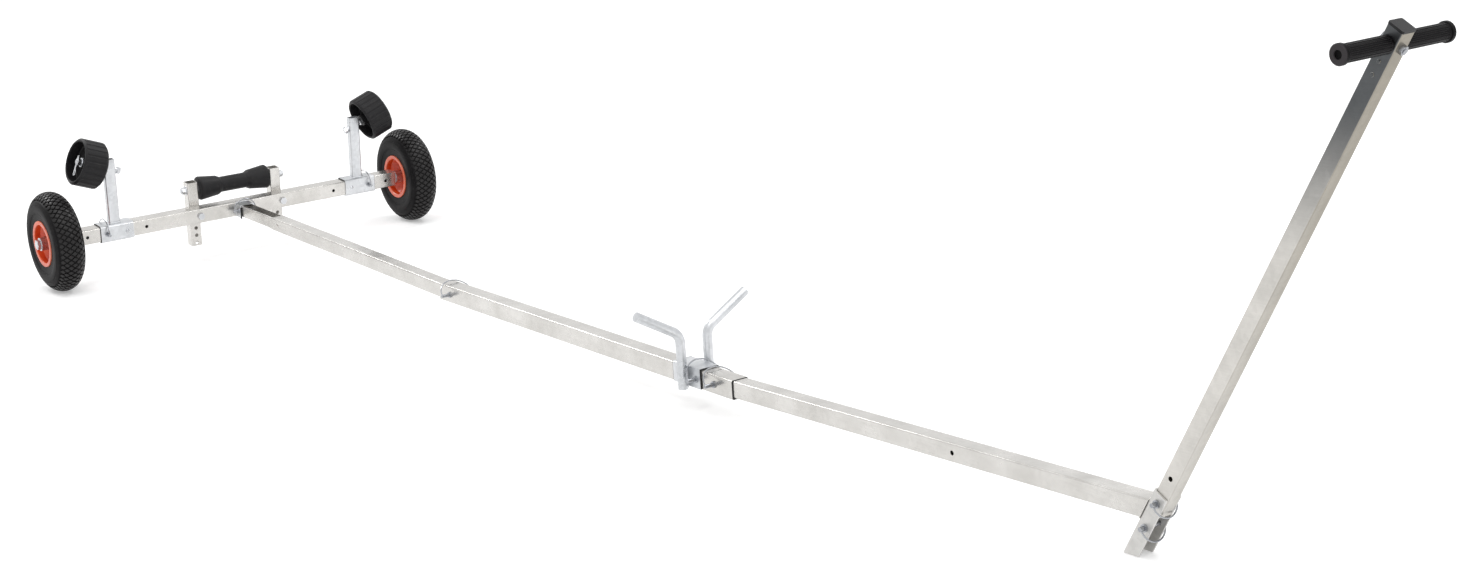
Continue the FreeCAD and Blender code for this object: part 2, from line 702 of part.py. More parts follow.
def save_axle():
    """Beam with its side brackets, side rollers, keel roller and uprights."""
    save("axle_beam", placed(axle_beam(), AXLE))
    for side, name in ((1, "port"), (-1, "starboard")):
        save("side_bracket_" + name, placed(mirrored(side_bracket(), side), AXLE))
        for node, shape in (("side_roller_", side_roller()), ("side_spindle_", spindle())):
            save(node + name, placed(mirrored(placed(shape, roller_frame()), side), AXLE))
        pin = lock_pin(sleeve_outer/2, sleeve_outer/2)
        pin.rotate(Vector(0, 0, 0), Z_AXIS, 90)
        save("lock_pin_side_" + name, placed(moved(pin, Vector(0, side*side_pin_y, 0)), AXLE))
        offset = Vector(0, side*upright_spacing/2, 0)
        save("keel_upright_" + name, placed(moved(upright(), offset), AXLE))
        save("upright_bolt_" + name, placed(moved(upright_bolt(), offset), AXLE))
    axis = Vector(upright_x, 0, keel_axis_above)
    save("keel_roller", placed(moved(keel_roller(), axis), AXLE))
    save("keel_shaft", placed(moved(keel_shaft(), axis), AXLE))


def save_draw_bar():
    """Coupling, the three tubes and their lock pins."""
    save("coupling_bracket", placed(coupling_bracket(), AXLE))
    save("coupling_tongue", placed(tongue(), REAR))
    ear_outside = tongue_size/2 + ear_side_gap + ear_plate
    pin = moved(lock_pin(ear_outside, BEAM_HALF), Vector(coupling_x, 0, 0))
    save("lock_pin_coupling", placed(pin, AXLE))
    rear_holes = ((rear_tube_start + tongue_insert/2, 0.0), drilled_at(REAR, rear_joint_x))
    rear_tube = draw_tube(slim_tube, slim_wall, rear_tube_start, rear_tube_length, rear_holes)
    save("draw_tube_rear", placed(rear_tube, REAR))
    middle_holes = (rear_joint_x, bow_x + bow_pin_ahead, middle_span + front_joint_x)
    middle = draw_tube(middle_tube, middle_wall, -rear_insert/2, middle_tube_length,
                       [(x, 0.0) for x in middle_holes])
    save("draw_tube_middle", placed(middle, MIDDLE))
    save("draw_tube_front", front_tube())
    for name, x in (("rear", middle_holes[0]), ("front", middle_holes[2])):
        pin = lock_pin(middle_tube/2, middle_tube/2, tube_bail_lean)
        save("lock_pin_tube_" + name, placed(moved(pin, Vector(x, 0, 0)), MIDDLE))


def save_bow_support():
    """Saddle, two arms and lock pin."""
    at = Vector(bow_x, 0, 0)
    save("bow_saddle", placed(moved(bow_saddle(), at), MIDDLE))
    for side, name in ((1, "port"), (-1, "starboard")):
        save("bow_arm_" + name, placed(moved(mirrored(bow_arm(), side), at), MIDDLE))
    half = middle_tube/2 + saddle_clearance + saddle_plate
    pin = moved(lock_pin(half, half, bow_bail_lean), Vector(bow_x + bow_pin_ahead, 0, 0))
    save("lock_pin_bow", placed(pin, MIDDLE))


def save_handle():
    """Socket with its pins, handle tube, cap, grip bar, grips and bolt."""
    save("handle_socket", socket())
    for name, height in (("lower", foot_pin_height), ("upper", upper_pin_height)):
        pin = lock_pin(socket_outer/2, socket_depth - handle_centre, -socket_bail_lean)
        pin.rotate(Vector(0, 0, 0), Y_AXIS, 90)
        save("lock_pin_socket_" + name, placed(moved(pin, Vector(handle_centre, 0, height)), MAST))
    for node, shape in (("handle_tube", handle_tube()), ("handle_cap", handle_cap()),
                        ("grip_bar", grip_bar()), ("handle_bolt", handle_bolt())):
        save(node, placed(shape, MAST))
    for side, name in ((1, "port"), (-1, "starboard")):
        save("grip_" + name, placed(mirrored(grip(), side), MAST))


os.makedirs("parts", exist_ok=True)
print(f"pitch rear {rear_pitch:.3f} middle {middle_pitch:.3f} front {front_pitch:.3f} lean {handle_lean:.3f}")
print(f"axle at x {-length_centre.x:.3f}, foot at x {MAST.Base.x - length_centre.x:.3f}")
save_wheels()
save_axle()
save_draw_bar()
save_bow_support()
save_handle()
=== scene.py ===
import json
import math

import bmesh
import bpy
from mathutils import Matrix, Vector


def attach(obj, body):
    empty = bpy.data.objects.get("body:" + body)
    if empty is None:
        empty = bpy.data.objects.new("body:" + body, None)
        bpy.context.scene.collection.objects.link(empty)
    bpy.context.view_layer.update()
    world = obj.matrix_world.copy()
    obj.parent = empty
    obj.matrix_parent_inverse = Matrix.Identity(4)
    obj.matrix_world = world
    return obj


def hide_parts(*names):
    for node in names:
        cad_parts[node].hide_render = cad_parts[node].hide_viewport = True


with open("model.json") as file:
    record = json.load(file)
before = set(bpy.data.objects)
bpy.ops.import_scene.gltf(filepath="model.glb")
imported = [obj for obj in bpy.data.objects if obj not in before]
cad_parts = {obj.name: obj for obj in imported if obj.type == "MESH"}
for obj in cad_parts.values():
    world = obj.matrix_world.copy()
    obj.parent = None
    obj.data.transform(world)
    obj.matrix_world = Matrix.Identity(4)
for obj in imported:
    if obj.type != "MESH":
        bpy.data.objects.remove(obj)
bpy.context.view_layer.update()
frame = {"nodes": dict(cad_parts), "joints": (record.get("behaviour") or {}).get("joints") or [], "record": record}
nodes = frame["nodes"]
joints = {j["name"]: j for j in frame["joints"]}

# Camera that matches the photograph: place from above the axle, direction, roll and focal length in pixels
CAMERA_PLACE = (5.79844, -2.49480, 1.33051)
CAMERA_TURN = (54.352, 13.912, -4.026)
FOCAL_PIXELS = 2290.8
IMAGE_WIDTH = 1480


def node_material(name):
    """New node material with its shader, texture coordinates and node tree."""
    material = bpy.data.materials.new(name)
    material.use_nodes = True
    tree = material.node_tree
    shader = tree.nodes["Principled BSDF"]
    place = tree.nodes.new("ShaderNodeTexCoord").outputs["Object"]
    return material, tree, shader, place


def noise(tree, place, scale, detail=4.0, roughness=0.55):
    """Noise value between 0 and 1 at a scale in 1/m."""
    node = tree.nodes.new("ShaderNodeTexNoise")
    node.inputs["Scale"].default_value = scale
    node.inputs["Detail"].default_value = detail
    node.inputs["Roughness"].default_value = roughness
    tree.links.new(place, node.inputs["Vector"])
    return node.outputs["Fac"]


def stretched(tree, place, scale):
    """Coordinates scaled apart along X, Y and Z."""
    node = tree.nodes.new("ShaderNodeMapping")
    node.inputs["Scale"].default_value = scale
    tree.links.new(place, node.inputs["Vector"])
    return node.outputs["Vector"]


def ramp(tree, value, stops):
    """Colour or value ramp over (position, colour) stops."""
    node = tree.nodes.new("ShaderNodeValToRGB")
    for i, (position, colour) in enumerate(stops):
        if isinstance(colour, (int, float)):
            colour = (colour, colour, colour)
        element = node.color_ramp.elements[i] if i < 2 else node.color_ramp.elements.new(position)
        element.position = position
        element.color = (*colour, 1)
    tree.links.new(value, node.inputs["Fac"])
    return node.outputs["Color"]


def mix_colour(tree, fac, a, b, blend="MIX"):
    """Mix of two colour sockets or values."""
    node = tree.nodes.new("ShaderNodeMix")
    node.data_type = "RGBA"
    node.blend_type = blend
    for socket, value in ((node.inputs[0], fac), (node.inputs[6], a), (node.inputs[7], b)):
        if isinstance(value, bpy.types.NodeSocket):
            tree.links.new(value, socket)
        else:
            socket.default_value = value
    return node.outputs[2]


def bump(tree, shader, height, strength, distance):
    """Bump on the shader, on top of any bump there."""
    node = tree.nodes.new("ShaderNodeBump")
    node.inputs["Strength"].default_value = strength
    node.inputs["Distance"].default_value = distance
    tree.links.new(height, node.inputs["Height"])
    tree.links.new(node.outputs["Normal"], shader.inputs["Normal"])


def edge_wear_and_highlight(tree, width):
    """Value that is 1 along sharp edges and 0 on flat faces; it marks worn edges and painted edge highlights."""
    node = tree.nodes.new("ShaderNodeBevel")
    node.samples = 4
    node.inputs["Radius"].default_value = width
    geometry = tree.nodes.new("ShaderNodeNewGeometry")
    dot = tree.nodes.new("ShaderNodeVectorMath")
    dot.operation = "DOT_PRODUCT"
    tree.links.new(node.outputs["Normal"], dot.inputs[0])
    tree.links.new(geometry.outputs["Normal"], dot.inputs[1])
    return ramp(tree, dot.outputs["Value"], ((0.90, 1.0), (0.995, 0.0)))


def coordinate(tree, place, axis, low, high):
    """Value that rises from 0 to 1 between two distances from the middle along an axis, in metres."""
    parts = tree.nodes.new("ShaderNodeSeparateXYZ")
    tree.links.new(place, parts.inputs[0])
    size = tree.nodes.new("ShaderNodeMath")
    size.operation = "ABSOLUTE"
    tree.links.new(parts.outputs[axis], size.inputs[0])
    span = tree.nodes.new("ShaderNodeMapRange")
    span.interpolation_type = "SMOOTHSTEP"
    span.inputs["From Min"].default_value = low
    span.inputs["From Max"].default_value = high
    tree.links.new(size.outputs[0], span.inputs["Value"])
    return span.outputs["Result"]


def recolour(material, fac, colour, blend="MULTIPLY"):
    """Puts a second tone over a material's base colour."""
    tree = material.node_tree
    socket = tree.nodes["Principled BSDF"].inputs["Base Color"]
    under = socket.links[0].from_socket
    tree.links.new(mix_colour(tree, fac(tree), under, (*colour, 1), blend), socket)
    return material


def metal(name, dark, light, roughness, metallic, spangle=0.0, streak=0.0):
    """Coated steel: cloudy tone, faint crystals, draw marks and edges painted brighter as a highlight."""
    material, tree, shader, place = node_material(name)
    clouds = noise(tree, place, 14.0, 6.0)
    colour = ramp(tree, clouds, ((0.30, dark), (0.72, light)))
    if spangle:
        cells = tree.nodes.new("ShaderNodeTexVoronoi")
        cells.inputs["Scale"].default_value = 130.0
        tree.links.new(place, cells.inputs["Vector"])
        tone = ramp(tree, cells.outputs["Color"], ((0.0, 1 - spangle), (1.0, 1 + spangle)))
        colour = mix_colour(tree, 1.0, colour, tone, "MULTIPLY")
    grain = noise(tree, place, 900.0, 2.0)
    if streak:
        lines = noise(tree, stretched(tree, place, (12.0, 420.0, 420.0)), 1.0, 3.0)
        tone = ramp(tree, lines, ((0.3, 1 - streak), (0.7, 1.0)))
        colour = mix_colour(tree, 1.0, colour, tone, "MULTIPLY")
    # Painted highlight: sharp edges painted brighter than the faces.
    colour = mix_colour(tree, edge_wear_and_highlight(tree, 0.0012), colour, (*[min(1.0, 1.12*c) for c in light], 1))
    tree.links.new(colour, shader.inputs["Base Color"])
    rough = ramp(tree, clouds, ((0.25, roughness - 0.07), (0.75, roughness + 0.09)))
    tree.links.new(rough, shader.inputs["Roughness"])
    shader.inputs["Metallic"].default_value = metallic
    bump(tree, shader, grain, 0.12, 0.0004)
    return material


def rubber(name, dark, light, roughness, dust=0.0, gloss=0.28):
    """Black rubber with a faint bloom, fine grain and a little dust in the hollows."""
    material, tree, shader, place = node_material(name)
    clouds = noise(tree, place, 22.0, 5.0)
    colour = ramp(tree, clouds, ((0.35, dark), (0.70, light)))
    if dust:
        patches = ramp(tree, noise(tree, place, 60.0, 6.0, 0.7), ((0.52, 0.0), (0.75, dust)))
        colour = mix_colour(tree, patches, colour, (0.20, 0.18, 0.16, 1))
    tree.links.new(colour, shader.inputs["Base Color"])
    rough = ramp(tree, clouds, ((0.3, roughness - 0.06), (0.7, roughness + 0.08)))
    tree.links.new(rough, shader.inputs["Roughness"])
    shader.inputs["Specular IOR Level"].default_value = gloss
    bump(tree, shader, noise(tree, place, 700.0, 3.0), 0.25, 0.0005)
    return material


def paint(name, dark, light, roughness):
    """Sprayed paint: slight orange peel, tone shift and scuffed edges."""
    material, tree, shader, place = node_material(name)
    clouds = noise(tree, place, 30.0, 5.0)
    colour = ramp(tree, clouds, ((0.30, dark), (0.75, light)))
    colour = mix_colour(tree, edge_wear_and_highlight(tree, 0.0015), colour, (0.92, 0.30, 0.14, 1))
    tree.links.new(colour, shader.inputs["Base Color"])
    rough = ramp(tree, clouds, ((0.3, roughness - 0.05), (0.7, roughness + 0.07)))
    tree.links.new(rough, shader.inputs["Roughness"])
    shader.inputs["Coat Weight"].default_value = 0.25
    shader.inputs["Coat Roughness"].default_value = 0.2
    bump(tree, shader, noise(tree, place, 260.0, 2.0), 0.15, 0.0006)
    return material


materials = {
    "galvanised_tube": metal("galvanised", (0.54, 0.525, 0.50), (0.68, 0.665, 0.64), 0.23, 0.84, 0.04, 0.06),
    "zinc_plate": metal("zinc", (0.515, 0.53, 0.548), (0.70, 0.712, 0.73), 0.30, 0.80, 0.08),
    "fastener": metal("bright_zinc", (0.46, 0.47, 0.49), (0.66, 0.67, 0.69), 0.24, 0.92),
    "tyre": rubber("tyre_rubber", (0.0035, 0.0031, 0.0036), (0.007, 0.0064, 0.0072), 0.50, 0.05),
    "rim": paint("rim_paint", (0.66, 0.048, 0.008), (0.86, 0.11, 0.022), 0.34),
    "roller": rubber("roller_rubber", (0.006, 0.0056, 0.0064), (0.012, 0.0116, 0.013), 0.48, 0.06, 0.23),
    "grip": rubber("grip_rubber", (0.002, 0.0018, 0.0022), (0.004, 0.0036, 0.0042), 0.36, gloss=0.07),
    "cap": rubber("cap_plastic", (0.008, 0.008, 0.009), (0.016, 0.016, 0.017), 0.38),
}


def object_place(tree):
    """Object coordinates."""
    return tree.nodes.new("ShaderNodeTexCoord").outputs["Object"]


def painted_reflection_faces(axis, low, high, start, end):
    """Mask for painted reflection tone: value on faces that look along an axis, from start at a low height to end
    at a high one.
    """
    def value(tree):
        geometry = tree.nodes.new("ShaderNodeNewGeometry")
        facing = coordinate(tree, geometry.outputs["Normal"], axis, 0.5, 0.8)
        height = ramp(tree, coordinate(tree, object_place(tree), "Z", low, high), ((0.0, start), (1.0, end)))
        both = tree.nodes.new("ShaderNodeMath")
        both.operation = "MULTIPLY"
        tree.links.new(facing, both.inputs[0])
        tree.links.new(height, both.inputs[1])
        return both.outputs[0]
    return value


def length(tree, vector):
    """Length of a vector."""
    node = tree.nodes.new("ShaderNodeVectorMath")
    node.operation = "LENGTH"
    tree.links.new(vector, node.inputs[0])
    return node.outputs["Value"]


def block_tops(tree):
    """1 on the tops of the tread blocks, 0 between them and on the sidewalls."""
    shift = tree.nodes.new("ShaderNodeVectorMath")
    shift.operation = "MULTIPLY_ADD"
    shift.inputs[1].default_value = (1, 0, 1)
    shift.inputs[2].default_value = (-AXLE_X/1000, 0, -TYRE_RADIUS/1000)
    place = object_place(tree)
    tree.links.new(place, shift.inputs[0])
    parts = tree.nodes.new("ShaderNodeSeparateXYZ")
    tree.links.new(place, parts.inputs[0])
    side = tree.nodes.new("ShaderNodeMath")
    side.operation = "ABSOLUTE"
    tree.links.new(parts.outputs["Y"], side.inputs[0])
    section = tree.nodes.new("ShaderNodeCombineXYZ")
    for axis, value, middle in (("X", length(tree, shift.outputs[0]), TYRE_RADIUS - TYRE_SECTION),
                                ("Y", side.outputs[0], WHEEL_OUT)):
        less = tree.nodes.new("ShaderNodeMath")
        less.operation = "SUBTRACT"
        less.inputs[1].default_value = middle/1000
        tree.links.new(value, less.inputs[0])
        tree.links.new(less.outputs[0], section.inputs[axis])
    reach = coordinate(tree, section.outputs[0], "Y", 0.0305, 0.0335)
    height = ramp(tree, length(tree, section.outputs[0]), ((0.0385, 0.0), (0.0396, 1.0)))
    crown = tree.nodes.new("ShaderNodeMath")
    crown.operation = "SUBTRACT"
    crown.use_clamp = True
    tree.links.new(height, crown.inputs[0])
    tree.links.new(reach, crown.inputs[1])
    return crown.outputs[0]


def paint_tread_highlight(material):
    """Tread block tops get a painted highlight, a lighter colour, and are smoother and glossier."""
    tree = material.node_tree
    shader = tree.nodes["Principled BSDF"]
    # Painted highlight: block tops painted lighter than the gaps.
    recolour(material, block_tops, (0.014, 0.0125, 0.013), "MIX")
    for socket, between, top in (("Specular IOR Level", 0.10, 0.42), ("Roughness", 0.50, 0.22)):
        level = ramp(tree, block_tops(tree), ((0.0, between), (1.0, top)))
        tree.links.new(level, shader.inputs[socket])


def trim_grips(material):
    """Grips get a painted highlight on the edges of their grooves and are grey on their ends."""
    end = max(abs(corner[1]) for corner in nodes["grip_port"].bound_box)
    # Painted highlight: groove edges painted lighter grey.
    recolour(material, lambda tree: edge_wear_and_highlight(tree, 0.0005), (0.075, 0.070, 0.074), "MIX")
    recolour(material, lambda tree: coordinate(tree, object_place(tree), "Y", end - 0.002, end - 0.001),
             (0.055, 0.050, 0.053), "MIX")


def painted_shade_inside_beam(tree):
    """Mask for painted shade: 1 on what lies inside the axle beam, 0 past its ends."""
    past = coordinate(tree, object_place(tree), "Y", 0.4706, 0.4712)
    return ramp(tree, past, ((0.0, 1.0), (1.0, 0.0)))


def special_materials():
    """The handle has a painted reflection, its faces darker towards its grips; the stubs' plugs inside the beam
    are painted dark as shade; the socket is warmer.
    """
    tube = metal("handle_steel_painted_reflection", (0.53, 0.515, 0.485), (0.67, 0.65, 0.615), 0.32, 0.80, 0.04, 0.06)
    # Painted reflection: front faces painted darker and warmer towards the top.
    recolour(tube, painted_reflection_faces("X", 0.0, 0.86, 0.2, 1.0), (0.50, 0.47, 0.41))
    # Painted reflection: side faces painted dark blue-grey over their upper part.
    recolour(tube, painted_reflection_faces("Y", 0.50, 0.78, 0.0, 1.0), (0.15, 0.163, 0.18))
    stub = metal("stub_steel_painted_shade", (0.46, 0.47, 0.49), (0.66, 0.67, 0.69), 0.26, 0.90)
    # Painted shade: the plug inside the beam is painted near black, as the shade in the tube seen through its
    # holes.
    recolour(stub, painted_shade_inside_beam, (0.03, 0.03, 0.03))
    socket = metal("socket_steel", (0.58, 0.57, 0.55), (0.72, 0.71, 0.69), 0.36, 0.50, 0.06)
    pin = metal("pin_steel", (0.24, 0.25, 0.27), (0.44, 0.45, 0.47), 0.22, 0.95)
    special = {"handle_tube": tube, "handle_socket": socket, "axle_stub_port": stub,
               "axle_stub_starboard": stub}
    special.update({name: pin for name in nodes if "lock_pin" in name or name == "handle_bolt"})
    return special


def dress(obj, slot_name):
    """Gives a piece its slot's material and smooth shading between sharp edges."""
    obj.data.materials.clear()
    obj.data.materials.append(materials[slot_name])
    smooth(obj)


def smooth(obj, angle=32.0):
    """Smooth shading up to an angle between faces."""
    for polygon in obj.data.polygons:
        polygon.use_smooth = True
    obj.data.set_sharp_from_angle(angle=math.radians(angle))


def dress_frame():
    """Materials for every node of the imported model."""
    paint_tread_highlight(materials["tyre"])
    trim_grips(materials["grip"])
    slots = {s["node"]: s["material_slot"] for s in frame["record"]["subparts"]}
    special = special_materials()
    for name, obj in nodes.items():
        dress(obj, slots[name])
        if name in special:
            obj.data.materials[0] = special[name]


# Sizes in millimetres and angles in degrees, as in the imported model
AXLE_X = 1000*joints["wheel_port_spin"]["pos_m"][0]
TYRE_RADIUS = 132.0
TYRE_SECTION = 40.0
TYRE_BEAD = 53.2
WHEEL_OUT = 518.0
TREAD_DEPTH = 3.6
TREAD_BLOCKS = 52
AXLE_PITCH, REAR_PITCH, MIDDLE_PITCH, FRONT_PITCH, HANDLE_LEAN = -6.5, -2.478, -0.748, 1.100, 30.150
COUPLING_X = 37.0
REAR_PIVOT = 1180.0
MIDDLE_SPAN = 1080.5
FOOT_X = 1464.860
BEAM_END = 471.4
UPRIGHT_OUT = 121.0
SLEEVE_CENTRE = 358.0
SLEEVE_LENGTH = 90.0
SLEEVE_OUTER = 46.6
SCREW_OUT = 331.0
ROLLER_OUT, ROLLER_UP, ROLLER_TILT = 56.4, 193.0, 21.6
TONGUE_HOLE_X = 273.0
REAR_TUBE_HALF = 17.5
MIDDLE_END = 1117.6
BOW_X = 970.0
HANDLE_MIDDLE = 17.0
HANDLE_HALF = 14.0
RIVETS = (968.0, 946.0)
THREAD_PITCH = 1.1
THREAD_SHOWN = 3.2
SIDES = (("port", Matrix.Identity(4)), ("starboard", Matrix.Scale(-1, 4, (0, 1, 0))))


def frame_at(point, pitch):
    """Frame at a point with its X axis raised by pitch degrees."""
    return Matrix.Translation(point) @ Matrix.Rotation(math.radians(-pitch), 4, "Y")


AXLE = frame_at(Vector((AXLE_X, 0, TYRE_RADIUS)), AXLE_PITCH)
REAR = frame_at(AXLE @ Vector((COUPLING_X, 0, 0)), REAR_PITCH) @ Matrix.Translation((-COUPLING_X, 0, 0))
MIDDLE = frame_at(REAR @ Vector((REAR_PIVOT, 0, 0)), MIDDLE_PITCH)
FRONT = frame_at(MIDDLE @ Vector((MIDDLE_SPAN, 0, 0)), FRONT_PITCH)
MAST = frame_at(Vector((FOOT_X, 0, 0)), -HANDLE_LEAN)
ROLLER = (Matrix.Translation((0, SLEEVE_CENTRE + ROLLER_OUT, ROLLER_UP))
          @ Matrix.Rotation(math.radians(ROLLER_TILT), 4, "X"))
KEEL_SHAFT = Matrix.Translation((-35, 0, 61))
Y_TO_X = Matrix.Rotation(math.radians(-90), 4, "Z")


def at(x, y, z):
    """Shift in millimetres."""
    return Matrix.Translation((x, y, z))


def piece(name, form, place, slot_name, body="chassis"):
    """Piece from (points, faces) in a local frame in millimetres, riding on a body."""
    points, faces = form
    mesh = bpy.data.meshes.new(name)
    mesh.from_pydata([(place @ Vector(p))/1000 for p in points], [], faces)
    mesh.validate()
    build = bmesh.new()
    build.from_mesh(mesh)
    bmesh.ops.recalc_face_normals(build, faces=build.faces)
    build.to_mesh(mesh)
    build.free()
    obj = bpy.data.objects.new(name, mesh)
    bpy.context.scene.collection.objects.link(obj)
    dress(obj, slot_name)
    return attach(obj, body)


def joined(forms):
    """One form from several."""
    points, faces = [], []
    for more, sides in forms:
        faces += [[i + len(points) for i in side] for side in sides]
        points += more
    return points, faces


def lathe(profile, count, axis_closed=False):
    """Form turned about Y from a closed (radius, y) outline."""
    points, faces = [], []
    for i in range(count):
        a = 2*math.pi*i/count
        points += [(r*math.cos(a), y, r*math.sin(a)) for r, y in profile]
    n = len(profile)
    for i in range(count):
        j = (i + 1) % count
        for k in range(n - axis_closed):
            m = (k + 1) % n
            faces.append([i*n + k, i*n + m, j*n + m, j*n + k])
    if axis_closed:
        faces.append([i*n for i in range(count)])
        faces.append([i*n + n - 1 for i in reversed(range(count))])
    return points, faces


def extruded(outline, depth):
    """Form between a (y, z) outline and its copy further along X."""
    n = len(outline)
    points = [(0, y, z) for y, z in outline] + [(depth, y, z) for y, z in outline]
    faces = [list(range(n)), [2*n - 1 - i for i in range(n)]]
    faces += [[i, (i + 1) % n, n + (i + 1) % n, n + i] for i in range(n)]
    return points, faces


def rounded(width, height, radius, count=20):
    """Corner points of a rounded rectangle."""
    points = []
    for i in range(count):
        a = 2*math.pi*(i + 0.5)/count
        points.append((math.copysign(width/2 - radius, math.cos(a)) + radius*math.cos(a),
                       math.copysign(height/2 - radius, math.sin(a)) + radius*math.sin(a)))
    return points


def frame_ring(outer, inner, depth):
    """Square ring across X with rounded corners."""
    big, small = rounded(outer, outer, 4.0, 16), rounded(inner, inner, 2.5, 16)
    rings = [(0.0, small), (0.0, big), (depth, big), (depth, small)]
    points = [(x, y, z) for x, ring in rings for y, z in ring]
    faces = []
    for k in range(4):
        for i in range(16):
            j = (i + 1) % 16
            m = (k + 1) % 4
            faces.append([k*16 + i, k*16 + j, m*16 + j, m*16 + i])
    return points, faces


def resampled(path, step, closed):
    """Points at even steps along a path."""
    corners = [Vector(p) for p in path] + ([Vector(path[0])] if closed else [])
    result = []
    for a, b in zip(corners, corners[1:]):
        count = max(1, round((b - a).length/step))
        result += [a.lerp(b, i/count) for i in range(count)]
    return result if closed else result + [corners[-1]]


def wire(path, radius, sides=8, closed=False, ripple=0.0, wave=3.0):
    """Round wire along a path; a ripple makes it the row of scales of a weld bead."""
    path = [Vector(p) for p in path]
    points, faces, run = [], [], 0.0
    up = None
    for i, p in enumerate(path):
        before = path[i - 1] if i or closed else path[0]
        after = path[(i + 1) % len(path)] if i + 1 < len(path) or closed else path[-1]
        ahead = (after - before).normalized()
        if up is None:
            up = ahead.orthogonal().normalized()
        up = (up - ahead*up.dot(ahead)).normalized()
        side = ahead.cross(up)
        run += (p - path[i - 1]).length if i else 0.0
        r = radius*(1 + ripple*math.sin(2*math.pi*run/wave))
        for k in range(sides):
            a = 2*math.pi*k/sides
            points.append(p + up*(r*math.cos(a)) + side*(r*math.sin(a)))
    for i in range(len(path) - (not closed)):
        j = (i + 1) % len(path)
        for k in range(sides):
            m = (k + 1) % sides
            faces.append([i*sides + k, i*sides + m, j*sides + m, j*sides + k])
    if not closed:
        faces.append(list(range(sides)))
        faces.append([len(points) - 1 - k for k in range(sides)])
    return points, faces


def bead(path, radius=1.7, closed=False):
    """Weld bead along a path."""
    return wire(resampled(path, 0.7, closed), radius, 8, closed, 0.16, 2.8)


def tyre_point(turn, along, height):
    """Point on the tyre: turn runs round its section from side to side, along runs round the wheel."""
    reach = TYRE_SECTION + height
    r = TYRE_RADIUS - 0.05 - TYRE_SECTION + reach*math.sin(turn)
    return r*math.cos(along), 0.998*reach*math.cos(turn), r*math.sin(along)


def carcass():
    """Tyre without its tread blocks: beads, ringed sidewalls and a sunk crown."""
    side = [(TYRE_BEAD, 35.4), (63.6, 35.4), (64.5, 35.8), (70.0, 36.5)]
    rings = (-17, 14)
    flat = (-22, -18, -17, -16, -10, -4, 2, 8, 13, 14, 15, 20, 26)
    crown = (30, 32, 34, 36, 38, 42, 50, 58, 66, 74, 82)
    for degrees in flat + crown:
        sink = TREAD_DEPTH*min(1.0, max(0.0, (degrees - crown[0])/8.0))
        if degrees in rings:
            sink = 0.7
        x, y, z = tyre_point(math.radians(degrees), 0.0, -sink)
        side.append((x, y))
    return lathe(side + [(r, -y) for r, y in reversed(side)], 132)


def tread_block(turn, along):
    """Rounded lozenge of the tread, its top on the tyre's outside."""
    outline = ((1, 0.16), (0.2, 1), (-0.2, 1), (-1, 0.16), (-1, -0.16), (-0.2, -1), (0.2, -1), (1, -0.16))
    row_radius = TYRE_RADIUS - TYRE_SECTION*(1 - math.sin(turn))
    points, faces = [], []
    for height, grow in ((-TREAD_DEPTH - 0.4, 1.02), (-0.6, 0.95), (-0.12, 0.86), (0.0, 0.74)):
        for u, v in outline:
            points.append(tyre_point(turn + 6.9*grow*v/TYRE_SECTION, along + 5.3*grow*u/row_radius, height))
    for ring in range(3):
        for k in range(8):
            m = (k + 1) % 8
            faces.append([ring*8 + k, ring*8 + m, ring*8 + 8 + m, ring*8 + 8 + k])
    faces.append(list(range(24, 32)))
    return points, faces


def add_tyres():
    """Pneumatic tyres with rows of staggered lozenge blocks."""
    forms = [carcass()]
    for row in range(-3, 4):
        for i in range(TREAD_BLOCKS):
            along = 2*math.pi*(i + 0.5*(row % 2))/TREAD_BLOCKS - math.pi/2
            forms.append(tread_block(math.radians(90 + 15*row), along))
    form = joined(forms)
    for side, mirror in SIDES:
        place = AXLE @ mirror @ at(0, WHEEL_OUT, 0)
        tyre = piece("tyre_tread_" + side, form, place, "tyre", "wheel_" + side)
        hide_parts("tyre_" + side)


def add_valves():
    """Valve stem with its cap on the outside of each rim."""
    profile = [(5.5, 0.0), (5.0, 4.0), (3.6, 6.0), (3.6, 15.0), (4.6, 15.5), (4.6, 24.0), (3.6, 25.0)]
    turn = Matrix.Rotation(math.radians(-167), 4, "Y")
    lean = Matrix.Rotation(math.radians(12), 4, "Z")
    for side, mirror in SIDES:
        place = AXLE @ mirror @ at(0, WHEEL_OUT, 0) @ turn @ at(30.0, 2.5, 0) @ lean
        piece("valve_" + side, lathe(profile, 20, True), place, "cap", "wheel_" + side)


def threads(radius, start, end, pitch):
    """Thread ridges of a bolt end along Y."""
    count = max(2, round((end - start)/pitch))
    step = (end - start)/count
    profile = []
    for i in range(count):
        profile += [(radius - 0.35, start + i*step), (radius + 0.3, start + (i + 0.5)*step)]
    profile += [(radius - 0.35, end), (radius - 1.2, end), (radius - 1.2, start)]
    return lathe(profile, 24)


def add_threads():
    """Threads on the ends of the spindles, the keel shaft and the upright bolts."""
    for side, mirror in SIDES:
        for name, radius, start, place in (("spindle_thread_", 6.0, 27.4, ROLLER),
                                           ("shaft_thread_", 6.0, 148.0, KEEL_SHAFT),
                                           ("bolt_thread_", 5.0, -63.2, at(0, UPRIGHT_OUT, 0) @ Y_TO_X)):
            form = threads(radius, start, start + THREAD_SHOWN, THREAD_PITCH)
            piece(name + side, form, AXLE @ mirror @ place, "fastener")


